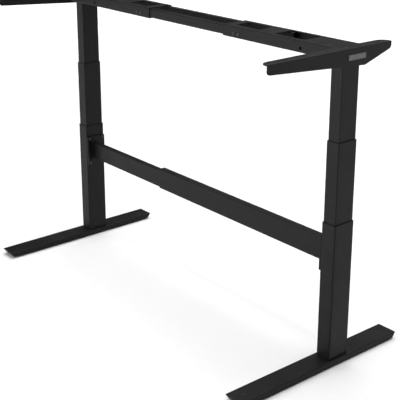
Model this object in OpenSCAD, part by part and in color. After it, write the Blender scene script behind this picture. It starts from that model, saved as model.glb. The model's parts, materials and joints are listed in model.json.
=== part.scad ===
// Height-adjustable desk frame: two three-stage columns, telescopic top frame and telescopic crossbar.
// X runs along the desk, Y from the user's side to the back, Z up.
// The origin is on the floor between the feet.

/* [Stance] */
// Distance between the centre lines of the two columns
column_span = 1380; // [1300:10:1500]
// How far the columns stand behind the middle of the feet
column_offset = 76; // [40:5:120]
// Travel of the top frame below the height shown
lift_down = 460; // [300:10:470]
// Travel of the top frame above the height shown
lift_up = 210; // [100:10:220]
// How far the left leg moves out from the width shown
width_out = 350; // [200:10:360]

/* [Foot] */
// Length of a foot
foot_len = 696; // [600:2:800]
// Width of a foot
foot_w = 73; // [70:1:100]
// Depth of the folded channel of a foot
foot_h = 18; // [16:1:24]
// Sheet thickness of a foot
foot_wall = 3; // [2.5:0.5:3]
// How far the end of a foot is cut back under its top
foot_undercut = 12; // [0:1:20]
// Chamfer along the top edges of a foot
foot_chamfer = 1.5; // [0.5:0.5:2]
// Diameter of a levelling pad
pad_d = 34; // [24:1:40]
// Thickness of a levelling pad
pad_h = 6; // [4:1:8]
// Distance from the end of a foot to the centre of its levelling pad
pad_inset = 42; // [36:1:60]
// Diameter of a levelling pad's stud
pad_stud_d = 8; // [6:1:10]

/* [Column] */
// Size of the outer tube along the desk
tube_x = 56; // [50:1:60]
// Size of the outer tube from front to back
tube_y = 85; // [80:1:96]
// Wall of each tube
tube_wall = 1.8; // [1.5:0.1:2]
// Gap between one tube and the next
tube_gap = 1.2; // [1:0.1:1.5]
// Outside corner radius of the outer tube
tube_r = 5; // [4.5:0.5:7]
// Length of the outer tube
outer_len = 460; // [440:2:480]
// Length of the middle tube that shows at the height drawn
middle_show = 263; // [250:1:280]
// Length of the inner tube that shows at the height drawn, up to the head plate
inner_show = 280; // [270:2:300]
// Height of a plastic glide
glide_h = 45; // [30:1:50]
// Thickness of a plastic glide
glide_t = 0.9; // [0.6:0.1:0.9]
// Thickness of the plate welded in the bottom of the outer tube
base_t = 6; // [5:1:8]

/* [Drive] */
// Diameter of the motor
motor_d = 36; // [30:1:38]
// Length of the motor
motor_len = 88; // [70:1:90]
// Height of the gearbox
gearbox_h = 42; // [36:1:44]
// Outside diameter of the fixed screw
fixed_screw_d = 16; // [15:0.5:17]
// Bore of the fixed screw
fixed_screw_bore = 11; // [10.5:0.5:12]
// Outside diameter of the hollow screw
hollow_screw_d = 24; // [23:0.5:26]
// Bore of the hollow screw
hollow_screw_bore = 18; // [17.5:0.5:19]
// Width across the flats of the drive shaft
shaft_af = 8; // [7:0.5:8.5]
// Height of the nut blocks
nut_h = 20; // [16:1:22]
// Outside diameter of the screw bearing
bearing_d = 36; // [34:1:38]
// Height of the screw bearing
bearing_h = 9; // [7:1:10]

/* [Top frame] */
// Depth of the top frame from front to back
frame_depth = 103; // [100:1:120]
// Height of the folded end frame
frame_h = 38; // [34:1:42]
// Sheet thickness of the end frame
frame_t = 2.5; // [2:0.5:3]
// Reach of an end frame from its column towards the middle
frame_reach = 488; // [460:2:500]
// Width of the folded lip under each side of the end frame
frame_lip = 12; // [10:1:14]
// Distance from the open end to the first window
window_start = 38; // [36:2:60]
// Length of the first window
window_a_len = 109; // [80:1:120]
// Length of the bridge between the windows
window_bridge = 79; // [50:1:90]
// Length of the second window
window_b_len = 130; // [120:2:150]
// Width of the first window
window_a_w = 62; // [50:1:70]
// Width of the second window
window_b_w = 74; // [60:1:78]
// Corner radius of the windows
window_r = 8; // [4:1:12]
// Diameter of the round hole in each side of the end frame
side_hole_d = 11; // [8:1:14]
// Distance from the open end to the round hole
side_hole_in = 353; // [340:1:370]
// Distance from the open end to the first lock screw
lock_screw_in = 53; // [48:1:60]
// How far the holes in the sides lie below the middle of their height
side_low = 5; // [0:0.5:6]
// Length of rail left in each end frame at the widest setting
rail_hold = 70; // [60:5:75]
// Width of an inner rail
rail_w = 20; // [16:1:22]
// Wall of an inner rail
rail_wall = 2; // [1.5:0.5:2.5]
// Clearance round a rail inside the end frame
rail_gap = 0.5; // [0.4:0.1:1]
// Thickness of the head plate on a column
head_t = 6; // [5:1:8]
// Length of the head plate along the desk
head_x = 80; // [76:1:90]
// Depth of the head plate from front to back
head_y = 92; // [88:1:98]

/* [Side bracket] */
// Distance from the column's centre to the outer face of the bracket
bracket_out = 51; // [50:1:60]
// Sheet thickness of the bracket
bracket_t = 3; // [2.5:0.5:4]
// Reach of the bracket's web in front of the column's centre
bracket_front = 363; // [355:1:400]
// Reach of the bracket behind the column's centre
bracket_back = 140; // [130:1:160]
// How far the bracket's flange stands out in front of its web
flange_nose = 3; // [0:1:12]
// Depth of the web at the front end
web_front_h = 29; // [26:1:40]
// Depth of the web at its deepest point
web_deep_h = 56; // [50:1:60]
// Depth of the web at the back end
web_back_h = 24; // [18:1:28]
// How far behind the column's centre the web is deepest
web_deep_y = 25; // [0:1:30]
// Radius of the web's lower edge at its deepest point
web_deep_r = 24; // [10:1:30]
// Width of the flange over the top frame
flange_w = 37; // [36:1:48]
// Width of the flange at its front end
flange_front_w = 32; // [31:1:36]
// Width of the flange at its back end
flange_back_w = 36; // [31:1:36]
// Radius of the flange's corners at both ends
flange_r = 30; // [10:1:30]
// Diameter of the holes for the desktop screws
desk_hole_d = 7; // [5:0.5:9]
// Distance from one desktop hole to the next
desk_hole_pitch = 220; // [210:5:230]
// How far the middle desktop hole is in front of the column's centre
desk_hole_mid = 115; // [100:5:130]
// Distance from the bracket's outer face to the desktop holes
desk_hole_in = 22; // [14:1:24]
// Length of the plain plate on the right bracket
plate_len = 72; // [50:1:80]
// Height of the plain plate on the right bracket
plate_h = 16; // [12:1:22]
// Thickness of the plain plate on the right bracket
plate_t = 0.8; // [0.5:0.1:1]
// Distance from the top of the bracket to the middle of the plate
plate_down = 27; // [20:1:30]
// How far the middle of the plate is in front of the column's centre
plate_front = 8; // [0:1:20]

/* [Crossbar] */
// Thickness of the crossbar's outer section
bar_y = 28; // [24:1:34]
// Height of the crossbar's outer section
bar_z = 78; // [70:1:84]
// Wall of the crossbar's sections
bar_wall = 2; // [1.5:0.5:2.5]
// Height of the crossbar's inner section, which lies on the lower wall of the outer one
bar_inner_z = 68; // [60:1:72]
// Clearance between the crossbar's two sections
bar_gap = 0.6; // [0.4:0.1:1]
// Height of the crossbar's bottom face
bar_bottom = 339; // [300:1:350]
// Distance from the middle of the desk to the open end of the outer section
bar_end = 204; // [190:2:210]
// Overlap of the crossbar's sections at the widest setting
bar_hold = 68; // [60:2:72]
// Thickness of the crossbar's end plates
end_plate_t = 6; // [4:1:8]
// Width of the crossbar's end plates
end_plate_y = 82; // [78:1:84]
// How far an end plate stands above the bar
end_plate_up = 20; // [18:1:40]
// How far an end plate reaches below the bar
end_plate_down = 20; // [18:1:30]
// Width of the slot in an end plate
end_slot_w = 9; // [6:1:10]

/* [Fasteners] */
// Shank diameter of the bolts in the feet
bolt_d = 8; // [6:1:9]
// Head diameter of the bolts in the feet
bolt_head_d = 13; // [12:0.5:14]
// Head height of the bolts
bolt_head_h = 5; // [4:0.5:6]
// Shank diameter of the small screws
screw_d = 6; // [5:0.5:6]
// Head diameter of the small screws
screw_head_d = 10.5; // [10:0.5:12]
// Head height of the small round-headed screws
screw_head_h = 3; // [2:0.5:4]
// Clearance on the radius of a screw in a plain hole
screw_gap = 0.25; // [0.1:0.05:0.4]

/* [Hidden] */
$fn = 48;

// Overrun of a cut past the face that it goes through
over = 1;
// Segments in a quarter of a folded corner
corner_steps = 4;
// Running clearance on the radius of a screw in its nut
run_gap = 0.05;
// Space left between parts that pass each other in the drive
stroke_gap = 10;
// Space between the bottom of a tube and the plate under it at the lowest position
floor_gap = 2;
// Height of the collar on the hollow screw and of its driven cap
collar_h = 3;
cap_h = 12;
// Space above the motor
motor_gap = 3;

// Column places, all measured from the floor
column_x = column_span / 2;
column_y = column_offset;
foot_top = pad_h + foot_h;
outer_bottom = foot_top;
outer_top = outer_bottom + outer_len;
base_top = outer_bottom + base_t;
middle_top = outer_top + middle_show;
middle_bottom = base_top + lift_down / 2 + floor_gap;
head_bottom = middle_top + inner_show;
head_top = head_bottom + head_t;
frame_top = head_top + frame_t;
frame_bottom = frame_top - frame_h;
bracket_top = frame_top + bracket_t;
block_h = bearing_h + head_t;
inner_bottom = middle_bottom + lift_down / 2 + block_h + collar_h + floor_gap;

// Tube sizes, one step in from the next
step = tube_wall + tube_gap;
middle_x = tube_x - 2 * step;
middle_y = tube_y - 2 * step;
middle_r = tube_r - step / 2;
inner_x = middle_x - 2 * step;
inner_y = middle_y - 2 * step;
inner_r = middle_r - step / 2;

// Drive places
hollow_top = inner_bottom + nut_h + lift_up / 2 + stroke_gap + floor_gap;
fixed_top = middle_bottom + nut_h + lift_up / 2 + stroke_gap / 2;
shaft_bottom = hollow_top - lift_up / 2 - cap_h - stroke_gap;
motor_top = head_bottom - motor_gap;
gearbox_top = motor_top - motor_len;
gearbox_bottom = gearbox_top - gearbox_h;

// Rail and window places inside the end frame
rail_h = frame_h - 2 * frame_t - 2 * rail_gap;
rail_top = head_top - rail_gap;
rail_face = frame_depth / 2 - frame_t - rail_gap;
side_hole_z = frame_bottom + frame_h / 2 - side_low;
lock_screw_pitch = screw_head_d * 2;
open_end = column_x - frame_reach;
rail_len = 2 * (open_end + rail_hold) + width_out;

// Crossbar places
inner_bar_y = bar_y - 2 * (bar_wall + bar_gap);
bar_mid = bar_bottom + bar_z / 2;
bar_face = column_x - tube_x / 2 - end_plate_t;
bar_inner_len = bar_face - bar_end + width_out + bar_hold;
bar_screw_pitch = screw_head_d * 3;
end_plate_bottom = bar_bottom - end_plate_down;
end_plate_top = bar_bottom + bar_z + end_plate_up;
end_bolt_y = end_plate_y / 2 - screw_head_d;
end_bolt_edge = 0.75 * screw_head_d;

// Screw places on the head plate
head_screw_x = head_x / 2 - screw_d - over;
head_screw_y = head_y / 2 - screw_head_d;

// Colours of the finishes
coat = [0.10, 0.10, 0.105];
coat_light = [0.30, 0.30, 0.31];
zinc = [0.62, 0.63, 0.65];
steel = [0.50, 0.51, 0.53];
nylon = [0.06, 0.06, 0.065];

// Points of a rectangle with round corners, centred on the origin
function round_rect(w, d, r) = [
    for (corner = [0:3], i = [0:corner_steps])
        let (
            a = 90 * corner + 90 * i / corner_steps,
            sx = (corner == 0 || corner == 3) ? 1 : -1,
            sy = corner < 2 ? 1 : -1
        )
        [sx * (w / 2 - r) + r * cos(a), sy * (d / 2 - r) + r * sin(a)]
];

// Points of an arc from angle a0 to angle a1
function arc(cx, cy, r, a0, a1, steps) = [
    for (i = [0:steps]) let (a = a0 + (a1 - a0) * i / steps) [cx + r * cos(a), cy + r * sin(a)]
];

// Puts its children on the right (1) or left (-1) column
module at_column(side) {
    translate([0, column_y, 0])
        if (side > 0) translate([column_x, 0, 0]) children();
        else mirror([1, 0, 0]) translate([column_x, 0, 0]) children();
}

// Square tube with folded corners standing on z0
module square_tube(w, d, r, wall, z0, len) {
    translate([0, 0, z0])
        linear_extrude(len)
            difference() {
                polygon(round_rect(w, d, r));
                polygon(round_rect(w - 2 * wall, d - 2 * wall, r - wall));
            }
}

// Four plastic pads on the faces of a w by d rectangle, growing outwards by t
module pads(w, d, t, z0) {
    pad_x = w - 2 * tube_r;
    pad_y = d - 2 * tube_r;
    for (s = [-1, 1]) {
        translate([s * (w + t) / 2, 0, z0 + glide_h / 2]) cube([t, pad_y, glide_h], center = true);
        translate([0, s * (d + t) / 2, z0 + glide_h / 2]) cube([pad_x, t, glide_h], center = true);
    }
}

// Countersunk screw with its head sunk in a sheet of thickness t below z0, and its shank downwards
module countersunk(z0, t, len) {
    translate([0, 0, z0 - len]) cylinder(h = len, d = screw_d);
    translate([0, 0, z0 - t]) cylinder(h = t, d1 = screw_d, d2 = screw_head_d);
}

// Hole for a countersunk screw through a sheet of thickness t
module countersunk_hole(z0, t) {
    translate([0, 0, z0 - t - over]) cylinder(h = t + 2 * over, r = screw_d / 2 + screw_gap);
    translate([0, 0, z0 - t])
        cylinder(h = t, r1 = screw_d / 2 + screw_gap, r2 = screw_head_d / 2 + screw_gap);
    translate([0, 0, z0]) cylinder(h = over, r = screw_head_d / 2 + screw_gap);
}

// Outline of the foot seen from the end of the desk, drawn in by t on every side
module foot_outline(t) {
    half = foot_len / 2 - t;
    polygon([
        [-half, foot_h - t], [half, foot_h - t],
        [half - foot_undercut, t == 0 ? 0 : -over], [-half + foot_undercut, t == 0 ? 0 : -over]
    ]);
}

// Folded channel with closed ends, open below
module foot() {
    cut = foot_chamfer * sqrt(2);
    color(coat)
        difference() {
            translate([foot_w / 2, -column_y, pad_h])
                rotate([90, 0, -90]) linear_extrude(foot_w) foot_outline(0);
            translate([foot_w / 2 - foot_wall, -column_y, pad_h])
                rotate([90, 0, -90]) linear_extrude(foot_w - 2 * foot_wall) foot_outline(foot_wall);
            for (s = [-1, 1])
                translate([s * foot_w / 2, -column_y, foot_top])
                    rotate([0, 45, 0]) cube([cut, foot_len + 2 * over, cut], center = true);
            for (p = foot_bolt_places)
                translate([p.x, p.y, foot_top - foot_wall - over])
                    cylinder(h = foot_wall + 2 * over, r = bolt_d / 2 + screw_gap);
            for (s = [-1, 1])
                translate([0, s * (foot_len / 2 - pad_inset) - column_y, foot_top - foot_wall - over])
                    cylinder(h = foot_wall + 2 * over, r = pad_stud_d / 2 + run_gap);
        }
}

foot_bolt_places = [
    for (x = [-1, 1], y = [-1, 1]) [x * (tube_x / 2 - bolt_head_d), y * (tube_y / 2 - bolt_head_d)]
];

// Bolts from inside the foot up into the plate in the outer tube
module foot_bolts() {
    color(zinc)
        for (p = foot_bolt_places)
            translate([p.x, p.y, foot_top - foot_wall - bolt_head_h]) {
                cylinder(h = bolt_head_h, d = bolt_head_d);
                cylinder(h = bolt_head_h + foot_wall + base_t, d = bolt_d);
            }
}

// Levelling pad with its stud through the top of the foot, at the front (-1) or rear (1)
module leveler(end) {
    grip = pad_h / 3;
    color(nylon)
        translate([0, end * (foot_len / 2 - pad_inset) - column_y, 0]) {
            rotate_extrude()
                polygon([
                    [0, 0], [pad_d / 2 - grip / 2, 0], [pad_d / 2, grip / 2], [pad_d / 2, grip],
                    [pad_d / 3, pad_h - grip / 2], [pad_d / 4, pad_h], [0, pad_h]
                ]);
            cylinder(h = foot_top, d = pad_stud_d);
        }
}

// Largest tube, closed by the plate that the foot and the fixed screw fasten to
module outer_tube() {
    color(coat)
        difference() {
            union() {
                square_tube(tube_x, tube_y, tube_r, tube_wall, outer_bottom, outer_len);
                translate([0, 0, outer_bottom])
                    linear_extrude(base_t)
                        polygon(round_rect(tube_x - tube_wall, tube_y - tube_wall, tube_r - tube_wall / 2));
            }
            for (p = foot_bolt_places)
                translate([p.x, p.y, outer_bottom - over])
                    cylinder(h = base_t + 2 * over, r = bolt_d / 2 + run_gap);
            translate([0, 0, outer_bottom - over])
                cylinder(h = base_t + 2 * over, r = fixed_screw_d / 2 + run_gap);
            for (y = [-1, 1], z = [-1, 1])
                translate([-tube_x / 2 - over, y * end_bolt_y, end_bolt_z(z)])
                    rotate([0, 90, 0]) cylinder(h = tube_wall + 2 * over, r = screw_d / 2 + run_gap);
        }
}

function end_bolt_z(side) = side > 0 ? end_plate_top - end_bolt_edge : end_plate_bottom + end_bolt_edge;

// Pads at the mouth of the outer tube
module outer_glides() {
    color(nylon)
        pads(tube_x - 2 * tube_wall - 2 * glide_t, tube_y - 2 * tube_wall - 2 * glide_t, glide_t,
            outer_top - floor_gap - glide_h);
}

module middle_tube() {
    color(coat)
        square_tube(middle_x, middle_y, middle_r, tube_wall, middle_bottom, middle_top - middle_bottom);
}

// Pads outside the foot of the middle tube and inside its mouth
module middle_glides() {
    color(nylon) {
        pads(middle_x, middle_y, glide_t, middle_bottom + floor_gap);
        pads(middle_x - 2 * tube_wall - 2 * glide_t, middle_y - 2 * tube_wall - 2 * glide_t, glide_t,
            middle_top - floor_gap - glide_h);
    }
}

module inner_tube() {
    color(coat)
        square_tube(inner_x, inner_y, inner_r, tube_wall, inner_bottom, head_bottom - inner_bottom);
}

// Pads outside the foot of the inner tube
module inner_glides() {
    color(nylon) pads(inner_x, inner_y, glide_t, inner_bottom + floor_gap);
}

// Hollow screw that stands in the plate of the outer tube and doesn't turn
module fixed_screw() {
    color(steel)
        translate([0, 0, outer_bottom])
            difference() {
                cylinder(h = fixed_top - outer_bottom, d = fixed_screw_d);
                translate([0, 0, -over])
                    cylinder(h = fixed_top - outer_bottom + 2 * over, d = fixed_screw_bore);
            }
}

// Block in the bottom of the middle tube that holds the screw bearing
module middle_block() {
    w = middle_x - 2 * tube_wall;
    d = middle_y - 2 * tube_wall;
    color(zinc)
        translate([0, 0, middle_bottom])
            difference() {
                linear_extrude(block_h) polygon(round_rect(w, d, middle_r - tube_wall));
                translate([0, 0, -over])
                    cylinder(h = block_h + 2 * over, r = hollow_screw_d / 2 + screw_gap);
                translate([0, 0, block_h - bearing_h]) cylinder(h = bearing_h + over, d = bearing_d);
            }
}

module screw_bearing() {
    color(steel)
        translate([0, 0, middle_bottom + block_h - bearing_h])
            difference() {
                cylinder(h = bearing_h, d = bearing_d);
                translate([0, 0, -over])
                    cylinder(h = bearing_h + 2 * over, r = hollow_screw_d / 2 + run_gap);
            }
}

// Turning screw: a nut on the fixed screw below, a thread outside and a six-sided socket on top
module hollow_screw() {
    len = hollow_top - middle_bottom;
    color(steel)
        translate([0, 0, middle_bottom])
            difference() {
                union() {
                    cylinder(h = len, d = hollow_screw_d);
                    translate([0, 0, block_h + screw_gap])
                        cylinder(h = collar_h - screw_gap, d = hollow_screw_d + 2 * collar_h);
                }
                translate([0, 0, -over]) cylinder(h = nut_h + 2 * over, r = fixed_screw_d / 2 + run_gap);
                translate([0, 0, nut_h]) cylinder(h = len - nut_h - cap_h, d = hollow_screw_bore);
                translate([0, 0, len - cap_h - over])
                    cylinder(h = cap_h + 2 * over, r = shaft_af / sqrt(3) + run_gap, $fn = 6);
            }
}

// Block in the bottom of the inner tube that climbs the turning screw
module lift_nut() {
    w = inner_x - 2 * tube_wall;
    d = inner_y - 2 * tube_wall;
    color(zinc)
        translate([0, 0, inner_bottom])
            difference() {
                linear_extrude(nut_h) polygon(round_rect(w, d, inner_r - tube_wall));
                translate([0, 0, -over]) cylinder(h = nut_h + 2 * over, r = hollow_screw_d / 2 + run_gap);
            }
}

// Six-sided shaft from the gearbox down through the screws
module drive_shaft() {
    color(steel)
        translate([0, 0, shaft_bottom])
            cylinder(h = gearbox_bottom - screw_gap - shaft_bottom, r = shaft_af / sqrt(3), $fn = 6);
}

// Gear case that seats in the inner tube under the motor
module gearbox() {
    w = inner_x - 2 * tube_wall;
    d = inner_y - 2 * tube_wall;
    seat_h = gearbox_h / 4;
    color(zinc) {
        translate([0, 0, gearbox_bottom]) cylinder(h = gearbox_h, d = motor_d);
        for (z = [gearbox_bottom, gearbox_top - seat_h])
            translate([0, 0, z]) linear_extrude(seat_h) polygon(round_rect(w, d, inner_r - tube_wall));
    }
}

// Motor can with its end cap
module motor() {
    cap = motor_len / 8;
    color(steel)
        translate([0, 0, gearbox_top]) {
            cylinder(h = motor_len - cap, d = motor_d);
            cylinder(h = motor_len, d = motor_d - cap / 2);
        }
}

head_screw_places = [for (y = [-1, 1]) [-head_screw_x, y * head_screw_y]];
bracket_screw_places = [for (y = [-1, 1]) [head_screw_x, y * head_screw_y]];

// Plate welded to the inner tube, drilled for the frame and bracket screws
module head_plate() {
    color(coat)
        difference() {
            translate([0, 0, head_bottom])
                linear_extrude(head_t) polygon(round_rect(head_x, head_y, tube_r));
            for (p = concat(head_screw_places, bracket_screw_places))
                translate([p.x, p.y, head_bottom - over])
                    cylinder(h = head_t + 2 * over, r = screw_d / 2 + run_gap);
        }
}

module head_screws() {
    color(zinc)
        for (p = head_screw_places)
            translate([p.x, p.y, 0]) countersunk(frame_top, frame_t, frame_t + head_t);
}

module bracket_screws() {
    color(zinc)
        for (p = bracket_screw_places)
            translate([p.x, p.y, 0]) countersunk(bracket_top, bracket_t, bracket_t + frame_t + head_t);
}

// Section of the end frame: top, two sides and a lip under each side
module frame_section() {
    difference() {
        translate([-frame_depth / 2, 0]) square([frame_depth, frame_h]);
        translate([-frame_depth / 2 + frame_t, frame_t])
            square([frame_depth - 2 * frame_t, frame_h - 2 * frame_t]);
        translate([-frame_depth / 2 + frame_lip, -over])
            square([frame_depth - 2 * frame_lip, frame_t + 2 * over]);
    }
}

// Window through the top of the end frame, x0 from the open end
module frame_window(x0, len, w) {
    translate([x0 + len / 2 - frame_reach, 0, frame_top - frame_t - over])
        linear_extrude(frame_t + 2 * over) polygon(round_rect(len, w, window_r));
}

// Folded tray that covers the column's head and holds the two rails
module end_frame() {
    out = bracket_out - bracket_t;
    color(coat_light)
        difference() {
            translate([out, 0, frame_bottom])
                rotate([90, 0, -90]) linear_extrude(frame_reach + out) frame_section();
            frame_window(window_start, window_a_len, window_a_w);
            frame_window(window_start + window_a_len + window_bridge, window_b_len, window_b_w);
            for (p = head_screw_places) translate([p.x, p.y, 0]) countersunk_hole(frame_top, frame_t);
            for (p = bracket_screw_places)
                translate([p.x, p.y, frame_top - frame_t - over])
                    cylinder(h = frame_t + 2 * over, r = screw_d / 2 + screw_gap);
            translate([side_hole_in - frame_reach, 0, side_hole_z])
                rotate([90, 0, 0]) cylinder(h = frame_depth + 2 * over, d = side_hole_d, center = true);
            for (i = [0, 1])
                translate([lock_screw_x(i), 0, side_hole_z])
                    rotate([90, 0, 0])
                        cylinder(h = frame_depth + 2 * over, r = screw_d / 2 + run_gap, center = true);
        }
}

function lock_screw_x(i) = lock_screw_in + i * lock_screw_pitch - frame_reach;

// Screws through both sides of the end frame that press on the rails
module rail_lock_screws() {
    color(zinc)
        for (s = [-1, 1], i = [0, 1])
            translate([lock_screw_x(i), s * (frame_depth / 2 + screw_head_h), side_hole_z])
                rotate([90 * s, 0, 0]) {
                    cylinder(h = screw_head_h, d = screw_head_d);
                    cylinder(h = screw_head_h + frame_t + rail_gap / 2, d = screw_d);
                }
}

// Web outline: round front corner, straight lower edge, round deep point and round back tip
module web_outline() {
    front_r = web_front_h / 3;
    back_r = web_back_h / 2;
    polygon(concat(
        [[-bracket_front, 0]],
        arc(-bracket_front + front_r, -web_front_h + front_r, front_r, 180, 270, corner_steps),
        arc(web_deep_y, -web_deep_h + web_deep_r, web_deep_r, 266, 287, corner_steps),
        arc(bracket_back - back_r, -web_back_h + back_r, back_r, -60, 0, corner_steps),
        [[bracket_back, 0]]
    ));
}

// Flange outline: full width over the top frame, with one large round corner at each end
module flange_outline() {
    half = frame_depth / 2;
    nose = -bracket_front - flange_nose;
    polygon(concat(
        [[0, nose]],
        arc(-flange_front_w + flange_r, nose + flange_r, flange_r, 270, 180, 2 * corner_steps),
        [[-flange_w, -half], [-flange_w, half]],
        arc(-flange_back_w + flange_r, bracket_back - flange_r, flange_r, 180, 90, 2 * corner_steps),
        [[0, bracket_back]]
    ));
}

desk_hole_places = [for (i = [-1:1]) i * desk_hole_pitch - desk_hole_mid];

// Folded angle that carries the desktop: upright web outside, flange on top
module side_bracket() {
    color(coat)
        difference() {
            union() {
                translate([bracket_out - bracket_t, 0, bracket_top])
                    rotate([90, 0, 90]) linear_extrude(bracket_t) web_outline();
                translate([bracket_out, 0, bracket_top - bracket_t])
                    linear_extrude(bracket_t) flange_outline();
            }
            for (p = bracket_screw_places)
                translate([p.x, p.y, 0]) countersunk_hole(bracket_top, bracket_t);
            for (y = desk_hole_places)
                translate([bracket_out - desk_hole_in, y, bracket_top - bracket_t - over])
                    cylinder(h = bracket_t + 2 * over, d = desk_hole_d);
        }
}

// Plain oblong plate on the outside of the right bracket
module badge_plate() {
    color(coat_light)
        at_column(1)
            translate([bracket_out, -plate_front, bracket_top - plate_down])
                rotate([90, 0, 90])
                    linear_extrude(plate_t) polygon(round_rect(plate_len, plate_h, plate_h / 8));
}

// Plate bolted to the inner face of the outer tube, with a slot in front of the bar
module crossbar_plate() {
    x0 = -tube_x / 2 - end_plate_t;
    slot_y = -(end_plate_y / 2 + bar_y / 2) / 2;
    color(coat)
        difference() {
            translate([x0, -end_plate_y / 2, end_plate_bottom])
                cube([end_plate_t, end_plate_y, end_plate_top - end_plate_bottom]);
            translate([x0 - over, slot_y - end_slot_w / 2, bar_bottom])
                cube([end_plate_t + 2 * over, end_slot_w, bar_z]);
            for (y = [-1, 1], z = [-1, 1])
                translate([x0 - over, y * end_bolt_y, end_bolt_z(z)])
                    rotate([0, 90, 0]) cylinder(h = end_plate_t + 2 * over, r = screw_d / 2 + run_gap);
        }
}

module crossbar_bolts() {
    color(zinc)
        for (y = [-1, 1], z = [-1, 1])
            translate([-tube_x / 2 - end_plate_t - screw_head_h, y * end_bolt_y, end_bolt_z(z)])
                rotate([0, 90, 0]) {
                    cylinder(h = screw_head_h, d = screw_head_d);
                    cylinder(h = screw_head_h + end_plate_t + tube_wall, d = screw_d);
                }
}

// Rectangular tube along X from x0, centred on y and z
module bar_tube(x0, len, y, z, d, h, wall) {
    translate([x0, y, z])
        rotate([90, 0, 90])
            linear_extrude(len)
                difference() {
                    polygon(round_rect(d, h, 1.5 * wall));
                    polygon(round_rect(d - 2 * wall, h - 2 * wall, wall / 2));
                }
}

// Outer section, fixed to the right leg
module crossbar_outer() {
    color(coat)
        difference() {
            bar_tube(-bar_end, bar_face + bar_end, column_y, bar_mid, bar_y, bar_z, bar_wall);
            for (i = [1, 2])
                translate([-bar_end + i * bar_screw_pitch, column_y + bar_y / 2 + over, bar_mid])
                    rotate([90, 0, 0]) cylinder(h = bar_wall + 2 * over, r = screw_d / 2 + run_gap);
        }
}

// Inner section, fixed to the left leg
module crossbar_inner() {
    color(coat)
        bar_tube(-bar_face, bar_inner_len, column_y,
            bar_bottom + bar_wall + bar_gap + bar_inner_z / 2, inner_bar_y, bar_inner_z, bar_wall);
}

module crossbar_lock_screws() {
    color(zinc)
        for (i = [1, 2])
            translate([-bar_end + i * bar_screw_pitch, column_y + bar_y / 2 + screw_head_h, bar_mid])
                rotate([90, 0, 0]) {
                    cylinder(h = screw_head_h, d = screw_head_d);
                    cylinder(h = screw_head_h + bar_wall + bar_gap / 2, d = screw_d);
                }
}

// Rail inside both end frames, at the front (-1) or rear (1)
module rail(side) {
    color(coat)
        bar_tube(-rail_len / 2, rail_len, column_y + side * (rail_face - rail_w / 2),
            rail_top - rail_h / 2, rail_w, rail_h, rail_wall);
}

at_column(1) foot();  // right_foot
at_column(1) foot_bolts();  // right_foot_bolts
at_column(1) leveler(-1);  // right_front_leveler
at_column(1) leveler(1);  // right_rear_leveler
at_column(1) outer_tube();  // right_outer_tube
at_column(1) outer_glides();  // right_outer_glides
at_column(1) middle_tube();  // right_middle_tube
at_column(1) middle_glides();  // right_middle_glides
at_column(1) inner_tube();  // right_inner_tube
at_column(1) inner_glides();  // right_inner_glides
at_column(1) fixed_screw();  // right_fixed_screw
at_column(1) middle_block();  // right_middle_block
at_column(1) screw_bearing();  // right_screw_bearing
at_column(1) hollow_screw();  // right_hollow_screw
at_column(1) lift_nut();  // right_lift_nut
at_column(1) drive_shaft();  // right_drive_shaft
at_column(1) gearbox();  // right_gearbox
at_column(1) motor();  // right_motor
at_column(1) head_plate();  // right_head_plate
at_column(1) head_screws();  // right_head_screws
at_column(1) end_frame();  // right_end_frame
at_column(1) side_bracket();  // right_side_bracket
at_column(1) bracket_screws();  // right_bracket_screws
at_column(1) rail_lock_screws();  // right_rail_lock_screws
at_column(1) crossbar_plate();  // right_crossbar_plate
at_column(1) crossbar_bolts();  // right_crossbar_bolts
badge_plate();
at_column(-1) foot();  // left_foot
at_column(-1) foot_bolts();  // left_foot_bolts
at_column(-1) leveler(-1);  // left_front_leveler
at_column(-1) leveler(1);  // left_rear_leveler
at_column(-1) outer_tube();  // left_outer_tube
at_column(-1) outer_glides();  // left_outer_glides
at_column(-1) middle_tube();  // left_middle_tube
at_column(-1) middle_glides();  // left_middle_glides
at_column(-1) inner_tube();  // left_inner_tube
at_column(-1) inner_glides();  // left_inner_glides
at_column(-1) fixed_screw();  // left_fixed_screw
at_column(-1) middle_block();  // left_middle_block
at_column(-1) screw_bearing();  // left_screw_bearing
at_column(-1) hollow_screw();  // left_hollow_screw
at_column(-1) lift_nut();  // left_lift_nut
at_column(-1) drive_shaft();  // left_drive_shaft
at_column(-1) gearbox();  // left_gearbox
at_column(-1) motor();  // left_motor
at_column(-1) head_plate();  // left_head_plate
at_column(-1) head_screws();  // left_head_screws
at_column(-1) end_frame();  // left_end_frame
at_column(-1) side_bracket();  // left_side_bracket
at_column(-1) bracket_screws();  // left_bracket_screws
at_column(-1) rail_lock_screws();  // left_rail_lock_screws
at_column(-1) crossbar_plate();  // left_crossbar_plate
at_column(-1) crossbar_bolts();  // left_crossbar_bolts
crossbar_outer();
crossbar_inner();
crossbar_lock_screws();
rail(-1);  // front_rail
rail(1);  // rear_rail
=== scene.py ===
"""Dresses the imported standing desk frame: folded sheet, drawn tube, screws, pads, finishes and a studio."""

from __future__ import annotations

import json
import logging
import math
from dataclasses import dataclass
from enum import Enum
from typing import Iterable, Sequence

import bmesh
import bpy
from bmesh.types import BMEdge, BMVert, BMesh
from bpy.types import ID, Material, Node, NodeSocket, NodeTree, Object
from mathutils import Matrix, Vector

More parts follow.
